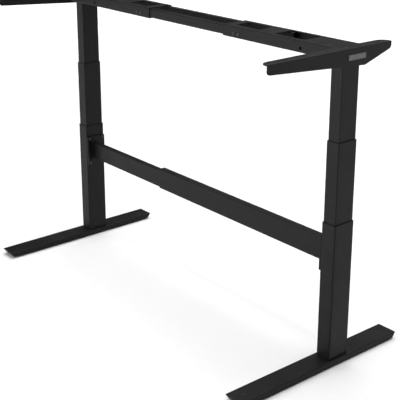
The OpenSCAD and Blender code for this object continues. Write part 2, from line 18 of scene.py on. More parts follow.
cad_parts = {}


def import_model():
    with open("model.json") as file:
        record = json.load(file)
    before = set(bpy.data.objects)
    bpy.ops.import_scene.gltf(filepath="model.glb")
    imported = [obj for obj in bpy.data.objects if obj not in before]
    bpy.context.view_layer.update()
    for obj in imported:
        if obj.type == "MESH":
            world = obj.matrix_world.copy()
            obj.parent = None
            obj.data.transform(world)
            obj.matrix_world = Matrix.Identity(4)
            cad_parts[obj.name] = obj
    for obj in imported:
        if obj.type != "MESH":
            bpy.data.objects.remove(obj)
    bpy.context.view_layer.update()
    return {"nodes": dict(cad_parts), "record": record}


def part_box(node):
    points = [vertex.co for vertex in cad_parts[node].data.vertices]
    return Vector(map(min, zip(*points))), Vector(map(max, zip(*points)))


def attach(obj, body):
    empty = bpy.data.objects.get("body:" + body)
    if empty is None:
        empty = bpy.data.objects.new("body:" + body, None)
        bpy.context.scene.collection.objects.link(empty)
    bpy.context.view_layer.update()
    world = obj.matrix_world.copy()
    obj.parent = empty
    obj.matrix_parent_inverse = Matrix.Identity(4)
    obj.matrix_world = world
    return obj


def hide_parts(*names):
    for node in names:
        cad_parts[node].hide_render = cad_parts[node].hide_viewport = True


log = logging.getLogger("desk_frame")

MM = 0.001
# X and Y of a column's middle, in metres, for the right side
COLUMN_AXIS = (0.690, 0.076)
# Angle from which an edge counts as sharp
SHARP = math.radians(50)
# Part of a unit normal from which a face counts as looking along an axis
FACING = 0.9
# The same part of an edge that runs along an axis
STRAIGHT = 0.999
# Slack in metres when places are compared
NEAR = 1e-6
IOR = 1.5
DUST_COLOUR = (0.20, 0.195, 0.185, 1.0)
# Share of the speckle in the tone of a coat; the rest is its mottling
SPECKLE_SHARE = 0.45
Box = tuple[Vector, Vector]


class Side(Enum):
    """Which leg of the desk frame a piece belongs to."""

    RIGHT = 1
    LEFT = -1

    @property
    def word(self) -> str:
        """The side's word in the names of the CAD nodes."""
        return self.name.lower()


class Look(Enum):
    """A direction that a screw's head looks in, as an axis and a sign, for the right side."""

    UP = (2, 1)
    DOWN = (2, -1)
    INWARD = (0, -1)
    FORWARD = (1, -1)
    BACKWARD = (1, 1)


class Slot(Enum):
    """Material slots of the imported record."""

    COAT = "powder_coat"
    PLATE = "plain_plate"
    BLACK_SCREW = "black_screws"
    ZINC = "zinc_steel"
    STEEL = "ground_steel"
    ALLOY = "cast_alloy"
    MOTOR = "motor_can"
    PLASTIC = "black_plastic"


def placed(name: str, data: ID) -> Object:
    """Makes an object of some data at the origin and puts it in the scene.

    Args:
        name: the object's name.
        data: its mesh, camera or light.

    Returns:
        The object.
    """
    made = bpy.data.objects.new(name, data)
    bpy.context.scene.collection.objects.link(made)
    return made


# Shader tools

class Graph:
    """Adds nodes and links to one node tree."""

    def __init__(self, tree: NodeTree) -> None:
        """Starts on an empty tree.

        Args:
            tree: the node tree to fill.
        """
        self.tree = tree
        tree.nodes.clear()

    def node(self, kind: str, inputs: dict | None = None, **settings: object) -> Node:
        """Adds a node.

        Args:
            kind: the node's type name.
            inputs: values and output sockets for its inputs, by name or number.
            settings: properties of the node.

        Returns:
            The new node.
        """
        made = self.tree.nodes.new(kind)
        for name, value in settings.items():
            setattr(made, name, value)
        for key, value in (inputs or {}).items():
            if isinstance(value, NodeSocket):
                self.link(value, made.inputs[key])
            else:
                made.inputs[key].default_value = value
        return made

    def link(self, source: NodeSocket, sink: NodeSocket) -> None:
        """Links an output socket to an input socket."""
        self.tree.links.new(source, sink)

    def math(self, operation: str, first: object, second: object = 0.0) -> NodeSocket:
        """Adds a Math node and returns its output."""
        return self.node("ShaderNodeMath", {0: first, 1: second}, operation=operation).outputs[0]

    def remap(self, value: object, low: float, high: float, to_low: float, to_high: float) -> NodeSocket:
        """Maps a value from one range to another, clamped, and returns the output."""
        made = self.node("ShaderNodeMapRange", {
            "Value": value, "From Min": low, "From Max": high, "To Min": to_low, "To Max": to_high})
        return made.outputs["Result"]

    def noise(self, vector: object, scale: float | NodeSocket, detail: float = 3.0,
              roughness: float = 0.55) -> NodeSocket:
        """Adds a noise texture and returns its value."""
        made = self.node("ShaderNodeTexNoise", {
            "Vector": vector, "Scale": scale, "Detail": detail, "Roughness": roughness})
        return made.outputs["Fac"]

    def place(self) -> NodeSocket:
        """Adds the Object coordinates and returns them."""
        return self.node("ShaderNodeTexCoord").outputs["Object"]

    def mix(self, mask: object, first: object, second: object) -> NodeSocket:
        """Mixes two colours.

        Args:
            mask: 0 for the first colour, 1 for the second.
            first: a colour or its socket.
            second: a colour or its socket.

        Returns:
            The mixed colour.
        """
        made = self.node("ShaderNodeMix", data_type="RGBA")
        for name, value in (("Factor", mask), ("A", first), ("B", second)):
            socket = next(s for s in made.inputs if s.name == name and s.enabled)
            if isinstance(value, NodeSocket):
                self.link(value, socket)
            else:
                socket.default_value = value
        return next(s for s in made.outputs if s.enabled)


class ShaderGroup(Graph):
    """The graph of a shader node group with named value sockets."""

    def __init__(self, name: str, inputs: dict[str, float], outputs: Sequence[str]) -> None:
        """Makes the group's tree and its sockets.

        Args:
            name: the group's name.
            inputs: the default of each input.
            outputs: the names of its outputs.
        """
        super().__init__(bpy.data.node_groups.new(name, "ShaderNodeTree"))
        for key, value in inputs.items():
            socket = self.tree.interface.new_socket(name=key, in_out="INPUT", socket_type="NodeSocketFloat")
            socket.default_value = value
        for key in outputs:
            self.tree.interface.new_socket(name=key, in_out="OUTPUT", socket_type="NodeSocketFloat")
        self.given = self.node("NodeGroupInput").outputs
        self.wanted = self.node("NodeGroupOutput").inputs

    def coat_texture(self) -> None:
        """Links the fine leathery relief and faint mottling of a baked powder coat."""
        place, scale = self.place(), self.given["Scale"]
        skin = self.noise(place, scale, 2.0, 0.5)
        grit = self.noise(place, self.math("MULTIPLY", scale, 3.7), 1.0, 0.4)
        relief = self.math("ADD", self.math("MULTIPLY", skin, 0.7), self.math("MULTIPLY", grit, 0.3))
        cloud = self.noise(place, self.math("MULTIPLY", scale, 0.012), 2.0, 0.6)
        self.link(relief, self.wanted["Height"])
        self.link(self.remap(grit, 0.35, 0.65, 0.0, 1.0), self.wanted["Speckle"])
        self.link(self.remap(cloud, 0.3, 0.7, 0.0, 1.0), self.wanted["Cloud"])

    def settled_dust(self) -> None:
        """Links the mask of the thin dust film that lies on faces that look up."""
        normal = self.node("ShaderNodeNewGeometry").outputs["Normal"]
        upward = self.node("ShaderNodeSeparateXYZ", {0: normal}).outputs["Z"]
        flat = self.remap(upward, 0.75, 1.0, 0.0, 1.0)
        patches = self.remap(self.noise(self.place(), 26.0, 5.0, 0.65), 0.35, 0.75, 0.35, 1.0)
        film = self.math("MULTIPLY", self.math("MULTIPLY", flat, patches), self.given["Amount"])
        self.link(film, self.wanted["Mask"])

    def fine_scratch(self) -> None:
        """Links the tone and relief of fine lines left by rolling or turning, drawn out along Z."""
        stretch = self.node("ShaderNodeMapping", {"Vector": self.place(), "Scale": (1.0, 1.0, 0.06)})
        lines = self.noise(stretch.outputs[0], self.given["Scale"], 2.0, 0.5)
        smudge = self.noise(self.place(), 60.0, 4.0, 0.6)
        tone = self.math("MULTIPLY", self.remap(lines, 0.3, 0.7, 0.6, 1.0),
                         self.remap(smudge, 0.3, 0.7, 0.75, 1.0))
        self.link(lines, self.wanted["Height"])
        self.link(tone, self.wanted["Tone"])

    def turned_thread(self) -> None:
        """Links the relief of a turned thread round the axis of either column, and a tone that is darkest in
        its grooves: painted shade.
        """
        parts = self.node("ShaderNodeSeparateXYZ", {0: self.place()})
        across = self.math("SUBTRACT", self.math("ABSOLUTE", parts.outputs["X"]), COLUMN_AXIS[0])
        along = self.math("SUBTRACT", parts.outputs["Y"], COLUMN_AXIS[1])
        turn = self.math("DIVIDE", self.math("ARCTAN2", along, across), math.tau)
        rise = self.math("DIVIDE", parts.outputs["Z"], self.given["Scale"])
        wave = self.math("PINGPONG", self.math("ADD", rise, turn), 0.5)
        flank = self.remap(wave, 0.08, 0.42, 0.0, 1.0)
        self.link(flank, self.wanted["Height"])
        # Tone is lowest in the thread's grooves, so they take the darker colour: painted shade.
        self.link(self.remap(flank, 0.0, 1.0, 0.35, 1.0), self.wanted["Tone"])


def shader_groups() -> dict[str, NodeTree]:
    """Makes the shader groups that the finishes share.

    Returns:
        The groups' trees by name.
    """
    trees = {}
    for fill, inputs, outputs in (
            (ShaderGroup.coat_texture, {"Scale": 1400.0}, ("Height", "Speckle", "Cloud")),
            (ShaderGroup.settled_dust, {"Amount": 0.3}, ("Mask",)),
            (ShaderGroup.fine_scratch, {"Scale": 2600.0}, ("Height", "Tone")),
            (ShaderGroup.turned_thread, {"Scale": 0.004}, ("Height", "Tone"))):
        group = ShaderGroup(fill.__name__, inputs, outputs)
        fill(group)
        trees[fill.__name__] = group.tree
    return trees


# Finishes

@dataclass(frozen=True)
class Finish:
    """A finish for a material slot of the record.

    Its grain is the scale of its texture, or a thread's pitch in metres.
    """

    name: str
    slot: Slot
    colour: tuple[float, float, float]
    second: tuple[float, float, float]
    rough_low: float
    rough_high: float
    grain: float
    relief_mm: float = 0.02
    metallic: float = 0.0
    gloss: float = 0.5
    dust: float = 0.0
    pattern: str = "coat_texture"

    def build(self, groups: dict[str, NodeTree]) -> Material:
        """Makes the material.

        Args:
            groups: the shared shader groups by name.

        Returns:
            The material, with its Principled BSDF in the material itself.
        """
        material = bpy.data.materials.new(self.name)
        material.use_nodes = True
        graph = Graph(material.node_tree)
        texture = self.place_group(graph, groups[self.pattern], {"Scale": self.grain})
        if self.pattern == "coat_texture":
            tone = graph.math("ADD", graph.math("MULTIPLY", texture.outputs["Speckle"], SPECKLE_SHARE),
                              graph.math("MULTIPLY", texture.outputs["Cloud"], 1 - SPECKLE_SHARE))
            rough = texture.outputs["Cloud"]
        else:
            # for the thread the low tone lies in its grooves, which is painted shade; for the other finishes
            # it is streaks and smudges
            tone = texture.outputs["Tone"]
            rough = texture.outputs["Tone"]
        base = graph.mix(tone, (*self.colour, 1.0), (*self.second, 1.0))
        dust = self.place_group(graph, groups["settled_dust"], {"Amount": self.dust}).outputs["Mask"]
        coloured = graph.mix(dust, base, DUST_COLOUR)
        relief = graph.node("ShaderNodeBump", {
            "Height": texture.outputs["Height"], "Strength": 1.0, "Distance": self.relief_mm * MM})
        surface = graph.node("ShaderNodeBsdfPrincipled", {
            "Base Color": coloured, "Metallic": self.metallic, "IOR": IOR, "Specular IOR Level": self.gloss,
            "Roughness": graph.remap(rough, 0.0, 1.0, self.rough_low, self.rough_high),
            "Normal": relief.outputs["Normal"]})
        graph.node("ShaderNodeOutputMaterial", {"Surface": surface.outputs[0]})
        return material

    @staticmethod
    def place_group(graph: Graph, tree: NodeTree, values: dict[str, float]) -> Node:
        """Places a shader group with its own values and returns the node."""
        made = graph.node("ShaderNodeGroup", node_tree=tree)
        for key, value in values.items():
            made.inputs[key].default_value = value
        return made


FINISHES = (
    Finish("black_powder_coat", Slot.COAT, (0.003, 0.003, 0.0032), (0.011, 0.011, 0.0113),
           rough_low=0.38, rough_high=0.54, gloss=0.16, grain=1100.0, relief_mm=0.16, dust=0.012),
    Finish("bare_grey_plate", Slot.PLATE, (0.09, 0.09, 0.093), (0.13, 0.13, 0.134),
           rough_low=0.34, rough_high=0.44, grain=1900.0, relief_mm=0.03),
    Finish("blackened_screw_steel", Slot.BLACK_SCREW, (0.030, 0.030, 0.032), (0.050, 0.050, 0.053),
           metallic=0.3, rough_low=0.32, rough_high=0.45, grain=2400.0),
    Finish("zinc_plated_steel", Slot.ZINC, (0.36, 0.37, 0.40), (0.47, 0.48, 0.50),
           metallic=0.9, rough_low=0.30, rough_high=0.42, grain=2200.0, pattern="fine_scratch"),
    Finish("bright_screw_steel", Slot.STEEL, (0.45, 0.46, 0.47), (0.56, 0.56, 0.57),
           metallic=1.0, rough_low=0.22, rough_high=0.34, grain=2600.0, pattern="fine_scratch"),
    Finish("die_cast_alloy", Slot.ALLOY, (0.48, 0.49, 0.50), (0.58, 0.58, 0.59),
           metallic=0.9, rough_low=0.42, rough_high=0.56, grain=1200.0, relief_mm=0.06,
           pattern="fine_scratch"),
    Finish("painted_motor_can", Slot.MOTOR, (0.09, 0.09, 0.10), (0.12, 0.12, 0.13),
           metallic=0.1, rough_low=0.35, rough_high=0.48, grain=1600.0, relief_mm=0.03),
    Finish("moulded_black_nylon", Slot.PLASTIC, (0.020, 0.020, 0.021), (0.028, 0.028, 0.029),
           rough_low=0.46, rough_high=0.60, grain=900.0, relief_mm=0.04, dust=0.03),
)

# The thread's darker first colour lies in its grooves: painted shade, since the thread is only a bump.
THREAD = Finish("threaded_screw_steel", Slot.STEEL, (0.25, 0.25, 0.26), (0.56, 0.56, 0.57),
                metallic=1.0, rough_low=0.24, rough_high=0.34, grain=0.004, relief_mm=0.6,
                pattern="turned_thread")

# Near-black matte finish of the discs in the side holes: painted shade for the dark inside seen through the
# holes.
HOLE_SHADE = Finish("black_rubber", Slot.PLASTIC, (0.0008, 0.0008, 0.0008), (0.0015, 0.0015, 0.0015),
                rough_low=0.70, rough_high=0.80, gloss=0.05, grain=1500.0)


# Mesh tools

def moved(bm: BMesh, verts: Iterable[BMVert], by: Sequence[float]) -> None:
    """Moves vertices by a vector."""
    bmesh.ops.translate(bm, verts=list(verts), vec=Vector(by))


def block(low: Sequence[float], high: Sequence[float]) -> BMesh:
    """Makes one box.

    Args:
        low: its lowest corner.
        high: its highest corner.

    Returns:
        A new bmesh that holds the box.
    """
    bm = bmesh.new()
    bmesh.ops.create_cube(bm, size=1.0)
    size = [h - l for l, h in zip(low, high)]
    bmesh.ops.scale(bm, verts=bm.verts, vec=size)
    moved(bm, bm.verts, [(l + h) / 2 for l, h in zip(low, high)])
    return bm


def edges_along(bm: BMesh, axis: int) -> list[BMEdge]:
    """Finds the edges that run along an axis.

    Args:
        bm: the mesh.
        axis: the axis, 0 to 2.

    Returns:
        The edges.
    """
    found = []
    for edge in bm.edges:
        run = edge.verts[1].co - edge.verts[0].co
        if abs(run[axis]) > STRAIGHT * run.length > 0:
            found.append(edge)
    return found


def rounded(bm: BMesh, edges: Iterable[BMEdge], radius: float, steps: int) -> None:
    """Rounds edges with a radius in metres."""
    bmesh.ops.bevel(bm, geom=list(edges), offset=radius, offset_type="OFFSET", segments=steps, profile=0.5,
                    affect="EDGES", material=-1, clamp_overlap=True)


def loop_outline(bm: BMesh, corners: Sequence[tuple[float, float, float]], steps: int = 6) -> None:
    """Adds a closed outline with round corners in the XY plane.

    Args:
        bm: the bmesh to add to.
        corners: X, Y and rounding of each corner in millimetres, in order.
        steps: segments of a rounding.
    """
    verts = [bm.verts.new((x * MM, y * MM, 0.0)) for x, y, _ in corners]
    bm.faces.new(verts)
    last = verts
    for vert, (_, _, radius) in zip(verts, corners):
        if radius > 0:
            last = bmesh.ops.bevel(bm, geom=[vert], offset=radius * MM, offset_type="OFFSET", segments=steps,
                                   profile=0.5, affect="VERTICES", material=-1, clamp_overlap=True)["verts"]
    bmesh.ops.delete(bm, geom=[last[0].link_faces[0]], context="FACES_ONLY")


def loop_rectangle(bm: BMesh, low: tuple[float, float], high: tuple[float, float], radius: float) -> None:
    """Adds the outline of a rectangle, in millimetres, with round corners."""
    loop_outline(bm, [(low[0], low[1], radius), (high[0], low[1], radius),
                      (high[0], high[1], radius), (low[0], high[1], radius)])


def loop_circle(bm: BMesh, x: float, y: float, radius: float, steps: int = 24,
                z: float = 0.0) -> list[BMEdge]:
    """Adds a level circle, in millimetres, and returns its edges."""
    made = bmesh.ops.create_circle(bm, cap_ends=False, segments=steps, radius=radius * MM,
                                   matrix=Matrix.Translation((x * MM, y * MM, z * MM)))
    return list(dict.fromkeys(edge for vert in made["verts"] for edge in vert.link_edges))


def drawn_tube(box: Box, axis: int, corner_mm: float, wall_mm: float, steps: int = 8) -> BMesh:
    """Draws a rectangular tube that is open at both ends.

    Args:
        box: its lowest and highest corner.
        axis: the axis that it runs along, 0 to 2.
        corner_mm: outside corner radius.
        wall_mm: wall thickness.
        steps: segments of a corner.

    Returns:
        The tube.
    """
    bm = block(box[0], box[1])
    rounded(bm, edges_along(bm, axis), corner_mm * MM, steps)
    bmesh.ops.delete(bm, geom=[f for f in bm.faces if abs(f.normal[axis]) > FACING], context="FACES_ONLY")
    bmesh.ops.solidify(bm, geom=list(bm.faces), thickness=wall_mm * MM)
    bmesh.ops.recalc_face_normals(bm, faces=bm.faces)
    return bm


def right_box(side: Side, node: str) -> Box:
    """Reads a node's box as it would be on the right side.

    Args:
        side: the node's side.
        node: the CAD node's name.

    Returns:
        Its lowest and highest corner.
    """
    low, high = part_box(node)
    if side is Side.LEFT:
        low, high = Vector((-high.x, low.y, low.z)), Vector((-low.x, high.y, high.z))
    return low, high


def seat(bm: BMesh, box: Box) -> None:
    """Fits a mesh exactly into a CAD box.

    Args:
        bm: the mesh, of almost the right size.
        box: the box's lowest and highest corner.
    """
    here_low = Vector([min(v.co[i] for v in bm.verts) for i in range(3)])
    here_high = Vector([max(v.co[i] for v in bm.verts) for i in range(3)])
    moved(bm, bm.verts, -(here_low + here_high) / 2)
    size = [(box[1][i] - box[0][i]) / (here_high[i] - here_low[i]) for i in range(3)]
    bmesh.ops.scale(bm, verts=bm.verts, vec=size)
    moved(bm, bm.verts, (box[0] + box[1]) / 2)


@dataclass(frozen=True)
class Bend:
    """A fold in a flat pattern, along X at a place on Y, away from the middle."""

    start: float
    radius: float
    degrees: float
    direction: int
    steps: int = 6

    def lines(self) -> list[float]:
        """Places of the fold lines on Y, spread evenly over the flat pattern that the bend takes."""
        strip = self.radius * math.radians(abs(self.degrees)) / self.steps
        return [self.start + self.direction * strip * (i + 0.5) for i in range(self.steps)]


class FoldedSheet:
    """Sheet metal cut from a flat pattern in the XY plane and folded along lines that run along X."""

    def __init__(self, thickness: float) -> None:
        """Starts an empty pattern.

        Args:
            thickness: sheet thickness in metres.
        """
        self.thickness = thickness
        self.bm = bmesh.new()

    def fill(self) -> None:
        """Fills the outline and leaves its holes open."""
        bmesh.ops.triangle_fill(self.bm, edges=list(self.bm.edges), use_beauty=True, normal=(0.0, 0.0, 1.0))
        bmesh.ops.recalc_face_normals(self.bm, faces=self.bm.faces)
        if sum(f.normal.z for f in self.bm.faces) < 0:
            bmesh.ops.reverse_faces(self.bm, faces=self.bm.faces)

    def fold(self, bends: Sequence[Bend]) -> None:
        """Folds the filled pattern, outermost bend first.

        Args:
            bends: the bends, with the one nearest to the edge first on each side.
        """
        for bend in bends:
            for line in bend.lines():
                bmesh.ops.bisect_plane(self.bm, geom=[*self.bm.verts, *self.bm.edges, *self.bm.faces],
                                       plane_co=(0.0, line, 0.0), plane_no=(0.0, 1.0, 0.0), dist=1e-7)
        plan = []
        for bend in bends:
            for line in reversed(bend.lines()):
                beyond = [v for v in self.bm.verts if (v.co.y - line) * bend.direction > NEAR]
                plan.append((line, bend, beyond))
        for line, bend, beyond in plan:
            turn = math.radians(bend.degrees) / bend.steps
            bmesh.ops.rotate(self.bm, verts=beyond, cent=(0.0, line, 0.0),
                             matrix=Matrix.Rotation(turn, 3, "X"))

    def thicken(self) -> None:
        """Gives the folded sheet its thickness, away from the side it looks to."""
        bmesh.ops.solidify(self.bm, geom=list(self.bm.faces), thickness=self.thickness)
        bmesh.ops.recalc_face_normals(self.bm, faces=self.bm.faces)


@dataclass
class Workshop:
    """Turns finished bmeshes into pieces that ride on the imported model."""

    materials: dict[Slot, Material]
    # finish of the discs in the side holes, which is painted shade
    rubber: Material

    def piece(self, bm: BMesh, name: str, body: str, slot: Slot, nodes: Sequence[str] = (),
              side: Side = Side.RIGHT, edge_mm: float = 0.4, material: Material | None = None) -> Object:
        """Makes a piece and hands it to the frame.

        Args:
            bm: the mesh, drawn for the right side; it is freed here.
            name: the piece's name.
            body: the CAD body that carries it.
            slot: the finish.
            nodes: CAD nodes that it stands for.
            side: the left side gets the mirror image.
            edge_mm: size of the small rounding along sharp edges, or 0.
            material: its material, where that isn't the slot's finish.

        Returns:
            The new object.
        """
        if side is Side.LEFT:
            bmesh.ops.scale(bm, verts=bm.verts, vec=(-1.0, 1.0, 1.0))
            bmesh.ops.reverse_faces(bm, faces=bm.faces)
        mesh = bpy.data.meshes.new(name)
        bm.to_mesh(mesh)
        bm.free()
        mesh.materials.append(material or self.materials[slot])
        mesh.shade_smooth()
        mesh.set_sharp_from_angle(angle=SHARP)
        piece = placed(name, mesh)
        if edge_mm > 0:
            rim = piece.modifiers.new("rim", "BEVEL")
            rim.width = edge_mm * MM
            rim.segments = 2
            rim.limit_method = "ANGLE"
            rim.angle_limit = SHARP
            rim.harden_normals = False
        even = piece.modifiers.new("even_shading", "WEIGHTED_NORMAL")
        even.keep_sharp = False
        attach(piece, body)
        if nodes:
            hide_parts(*nodes)
        log.info("%s: %d faces on %s, for %s", name, len(mesh.polygons), body, ", ".join(nodes) or "itself")
        return piece


# Sub-assemblies

@dataclass
class Column:
    """The three drawn tubes of one leg, with the plate welded into the foot of the outer one."""

    side: Side
    wall_mm: float = 1.8
    corner_mm: tuple[float, float, float] = (5.0, 3.5, 2.0)
    rim_mm: float = 0.5
    plate_mm: float = 6.0
    bolt_places_mm: tuple[float, float] = (15.0, 29.5)
    bolt_hole_mm: float = 4.2
    screw_hole_mm: float = 8.2

    def build(self, shop: Workshop) -> None:
        """Builds the outer, middle and inner tube.

        Args:
            shop: makes the pieces.
        """
        word = self.side.word
        stages = (("outer", "base"), ("middle", "middle"), ("inner", "top"))
        for (stage, body), corner in zip(stages, self.corner_mm):
            node = f"{word}_{stage}_tube"
            tube = drawn_tube(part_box(node), 2, corner, self.wall_mm)
            if stage == "outer":
                self.weld_plate(tube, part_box(node), corner)
            shop.piece(tube, f"{word}_{stage}_sleeve", f"{body}_{word}", Slot.COAT, [node],
                       edge_mm=self.rim_mm)

    def weld_plate(self, tube: BMesh, box: Box, corner: float) -> None:
        """Adds the plate that the foot's bolts and the fixed screw stand in.

        Args:
            tube: the outer tube's mesh.
            box: the tube's lowest and highest corner.
            corner: the tube's outside corner radius in millimetres.
        """
        low, high = box
        wide, deep = ((high[i] - low[i]) / MM / 2 - self.wall_mm for i in (0, 1))
        sheet = FoldedSheet(self.plate_mm * MM)
        loop_rectangle(sheet.bm, (-wide, -deep), (wide, deep), corner - self.wall_mm)
        loop_circle(sheet.bm, 0.0, 0.0, self.screw_hole_mm)
        x, y = self.bolt_places_mm
        for place in ((-x, -y), (x, -y), (x, y), (-x, y)):
            loop_circle(sheet.bm, *place, self.bolt_hole_mm)
        sheet.fill()
        sheet.thicken()
        moved(sheet.bm, sheet.bm.verts, (0, 0, low.z - min(vert.co.z for vert in sheet.bm.verts)))
        moved(sheet.bm, sheet.bm.verts, ((low.x + high.x) / 2, (low.y + high.y) / 2, 0))
        plate = bpy.data.meshes.new("base_plate")
        sheet.bm.to_mesh(plate)
        sheet.bm.free()
        tube.from_mesh(plate)
        bpy.data.meshes.remove(plate)


@dataclass
class Foot:
    """One long foot, folded from sheet, with its closed ends cut back under the top."""

    side: Side
    wall_mm: float = 3.0
    fold_mm: float = 3.0
    undercut_mm: float = 12.0
    stud_hole_mm: float = 4.5

    def build(self, shop: Workshop) -> None:
        """Builds the foot.

        Args:
            shop: makes the pieces.
        """
        node = f"{self.side.word}_foot"
        low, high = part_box(node)
        bm = block(low, high)
        for vert in bm.verts:
            if vert.co.z < (low.z + high.z) / 2:
                inward = -1 if vert.co.y > 0 else 1
                moved(bm, [vert], (0.0, inward * self.undercut_mm * MM, 0.0))
        folds = [e for e in bm.edges if any(v.co.z > high.z - NEAR for v in e.verts)]
        rounded(bm, folds, self.fold_mm * MM, steps=4)
        bmesh.ops.delete(bm, geom=[f for f in bm.faces if f.normal.z < -FACING], context="FACES_ONLY")
        roof = max((f for f in bm.faces if f.normal.z > FACING), key=lambda face: face.calc_area())
        outline = list(roof.edges)
        bmesh.ops.delete(bm, geom=[roof], context="FACES_ONLY")
        for end in ("front", "rear"):
            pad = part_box(f"{self.side.word}_{end}_leveler")
            middle = (pad[0] + pad[1]) / 2 / MM
            outline += loop_circle(bm, middle.x, middle.y, self.stud_hole_mm, z=high.z / MM)
        bmesh.ops.triangle_fill(bm, edges=outline, use_beauty=True, normal=(0, 0, 1))
        bmesh.ops.solidify(bm, geom=list(bm.faces), thickness=self.wall_mm * MM)
        bmesh.ops.recalc_face_normals(bm, faces=bm.faces)
        seat(bm, (low, high))
        shop.piece(bm, f"{self.side.word}_folded_foot", f"base_{self.side.word}", Slot.COAT, [node])


@dataclass
class LevelingPad:
    """A moulded pad under one end of a foot, with grip notches and its steel stud.

    A shoulder is a radius and a height, a recess a radius and a depth, a notch the part of the radius left.
    """

    side: Side
    end: str
    rim_mm: float = 17.0
    rim_chamfer_mm: float = 1.0
    rim_top_mm: float = 2.2
    shoulder_mm: tuple[float, float] = (11.56, 5.0)
    neck_mm: float = 8.5
    height_mm: float = 6.0
    stud_mm: float = 4.0
    stud_chamfer_mm: float = 0.6
    recess_mm: tuple[float, float] = (2.2, 3.0)
    steps: int = 60
    notch_every: int = 3
    notch: float = 0.955

    def build(self, shop: Workshop) -> None:
        """Turns the pad and notches its rim.

        Args:
            shop: makes the pieces.
        """
        node = f"{self.side.word}_{self.end}_leveler"
        low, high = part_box(node)
        rim, chamfer, tall = self.rim_mm, self.rim_chamfer_mm, self.height_mm
        stud, bevel, top = self.stud_mm, self.stud_chamfer_mm, (high.z - low.z) / MM
        recess, deep = self.recess_mm
        outline = [(0.0, 0.0), (rim - chamfer, 0.0), (rim, chamfer), (rim, self.rim_top_mm), self.shoulder_mm,
                   (self.neck_mm, tall), (stud, tall), (stud, top - bevel), (stud - bevel, top),
                   (recess, top), (recess, top - deep), (0.0, top - deep)]
        bm = bmesh.new()
        verts = [bm.verts.new((r * MM, 0.0, z * MM)) for r, z in outline]
        edges = [bm.edges.new(pair) for pair in zip(verts, verts[1:])]
        bmesh.ops.spin(bm, geom=[*verts, *edges], cent=(0, 0, 0), axis=(0, 0, 1), angle=math.tau,
                       steps=self.steps, use_merge=True)
        bmesh.ops.remove_doubles(bm, verts=bm.verts, dist=NEAR)
        bmesh.ops.recalc_face_normals(bm, faces=bm.faces)
        step = math.tau / self.steps
        dents = [v for v in bm.verts if v.co.xy.length > (rim - chamfer / 2) * MM
                 and round(math.atan2(v.co.y, v.co.x) / step) % self.notch_every == 0]
        bmesh.ops.scale(bm, verts=dents, vec=(self.notch, self.notch, 1.0))
        moved(bm, bm.verts, ((low.x + high.x) / 2, (low.y + high.y) / 2, low.z))
        shop.piece(bm, f"{self.side.word}_{self.end}_pad", f"{self.side.word}_{self.end}_pad", Slot.PLASTIC,
                   [node], edge_mm=0.2)


